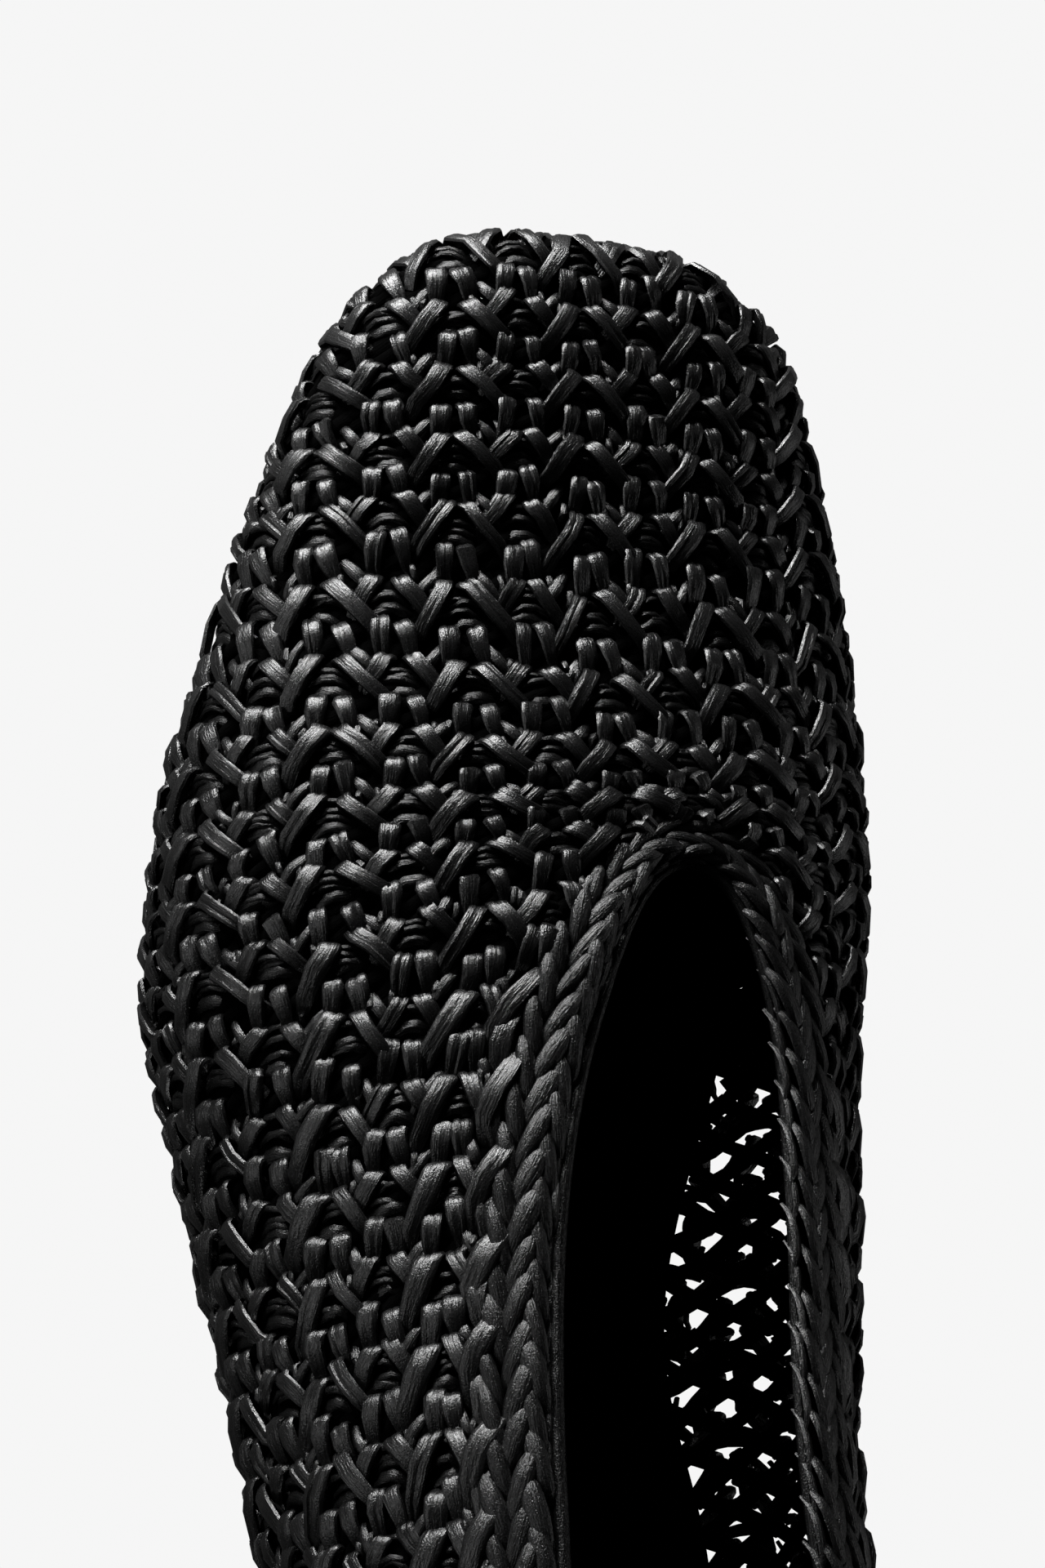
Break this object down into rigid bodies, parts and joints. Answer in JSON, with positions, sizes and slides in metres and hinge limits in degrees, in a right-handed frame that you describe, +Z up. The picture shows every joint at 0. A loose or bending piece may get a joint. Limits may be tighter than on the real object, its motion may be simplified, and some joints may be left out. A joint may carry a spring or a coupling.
{
  "type": "braided heeled shoe",
  "caption": "Left shoe with an upper looped from leather strips, a plaited edge round a long U-shaped mouth, a square-round toe and a plain low block heel.",
  "frame": {"origin": "centre of the shoe's box in plan, on the floor", "axes": "+X towards the toe, +Y towards the outer side of the foot, +Z up"},
  "size_m": [0.25, 0.0886, 0.1004],
  "materials": {
    "upper": "matte black strips with a soft sheen",
    "collar_plait": "matte black strips with a soft sheen",
    "insole": "matte black",
    "outsole": "satin black",
    "heel": "covered, satin black",
    "heel_tip": "matte black"
  },
  "bodies": {
    "root": {"upper": "upper", "collar_plait": "collar_plait", "insole": "insole", "outsole": "outsole", "heel": "heel", "heel_tip": "heel_tip"}
  },
  "joints": []
}
